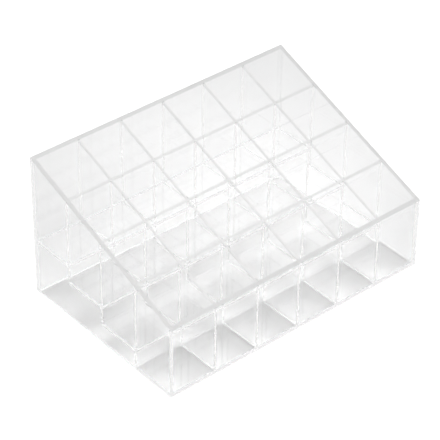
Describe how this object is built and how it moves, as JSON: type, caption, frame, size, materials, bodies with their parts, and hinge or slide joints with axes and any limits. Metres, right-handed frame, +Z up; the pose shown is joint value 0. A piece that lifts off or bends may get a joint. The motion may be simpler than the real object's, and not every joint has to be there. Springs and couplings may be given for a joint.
{
  "type": "vanity organizer",
  "caption": "Clear desktop organizer with upright square cells between crossing dividers, a rim that slopes down to the front, and a stepped floor that is hollow underneath.",
  "frame": {"origin": "middle of the underside, in the plane that the organizer rests on", "axes": "+X to the right along the front, +Y from the low front to the high back, +Z up"},
  "size_m": [0.145, 0.0954, 0.073],
  "materials": {
    "case_acrylic": "polished clear acrylic sheet",
    "divider_acrylic": "polished clear acrylic sheet",
    "floor_acrylic": "polished clear acrylic sheet"
  },
  "bodies": {
    "root": {"left_side_panel": "case_acrylic", "right_side_panel": "case_acrylic", "back_panel": "case_acrylic", "front_panel": "case_acrylic", "column_divider_1": "divider_acrylic", "column_divider_2": "divider_acrylic", "column_divider_3": "divider_acrylic", "column_divider_4": "divider_acrylic", "column_divider_5": "divider_acrylic", "row_divider_1": "divider_acrylic", "row_divider_2": "divider_acrylic", "row_divider_3": "divider_acrylic", "floor_step_1": "floor_acrylic", "floor_step_2": "floor_acrylic", "floor_step_3": "floor_acrylic", "floor_step_4": "floor_acrylic"}
  },
  "joints": []
}
